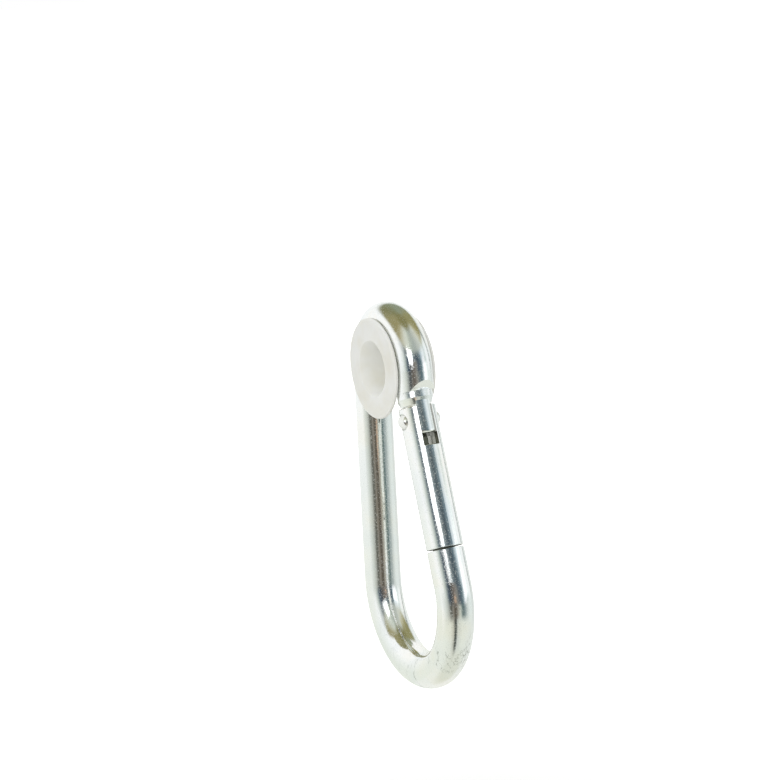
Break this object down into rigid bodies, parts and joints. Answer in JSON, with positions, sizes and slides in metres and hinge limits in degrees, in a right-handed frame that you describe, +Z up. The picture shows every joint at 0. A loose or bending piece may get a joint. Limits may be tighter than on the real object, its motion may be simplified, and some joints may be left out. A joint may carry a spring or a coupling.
{
  "type": "carabiner",
  "caption": "Pear-shaped spring snap hook of round steel rod with an inward-opening gate and a flanged nylon bush in its narrow bend.",
  "frame": {"origin": "centre of the nylon bush's bore, which is the centre of the narrow bend", "axes": "+Z up along the straight spine, +X from the spine to the gate, +Y across the loop along the bore"},
  "size_m": [0.0503, 0.0118, 0.1005],
  "materials": {
    "zinc_steel": "bright zinc plated",
    "spring_steel": "drawn wire, bright",
    "nylon": "moulded nylon, satin"
  },
  "bodies": {
    "hook": {"body": "zinc_steel", "bush": "nylon"},
    "gate_arm": {"gate": "zinc_steel", "rivet": "zinc_steel", "spring": "spring_steel"},
    "plunger": {"plunger": "zinc_steel"}
  },
  "joints": [
    {"name": "gate_hinge", "type": "hinge", "parent": "hook", "child": "gate_arm", "pos_m": [0.01369, 0, -0.01196], "axis": [0, 1, 0], "range_deg": [0, 38], "stiffness_Nm_per_rad": 0.3, "springref_deg": -28.65},
    {"name": "plunger_slide", "type": "slide", "parent": "gate_arm", "child": "plunger", "axis": [0.3285, 0, -0.9445], "range_m": [0, 0.0025], "deforming": ["spring"]}
  ],
  "couplings": [
    {"joint": "plunger_slide", "follows": "gate_hinge", "m_per_rad": 0.0036}
  ]
}
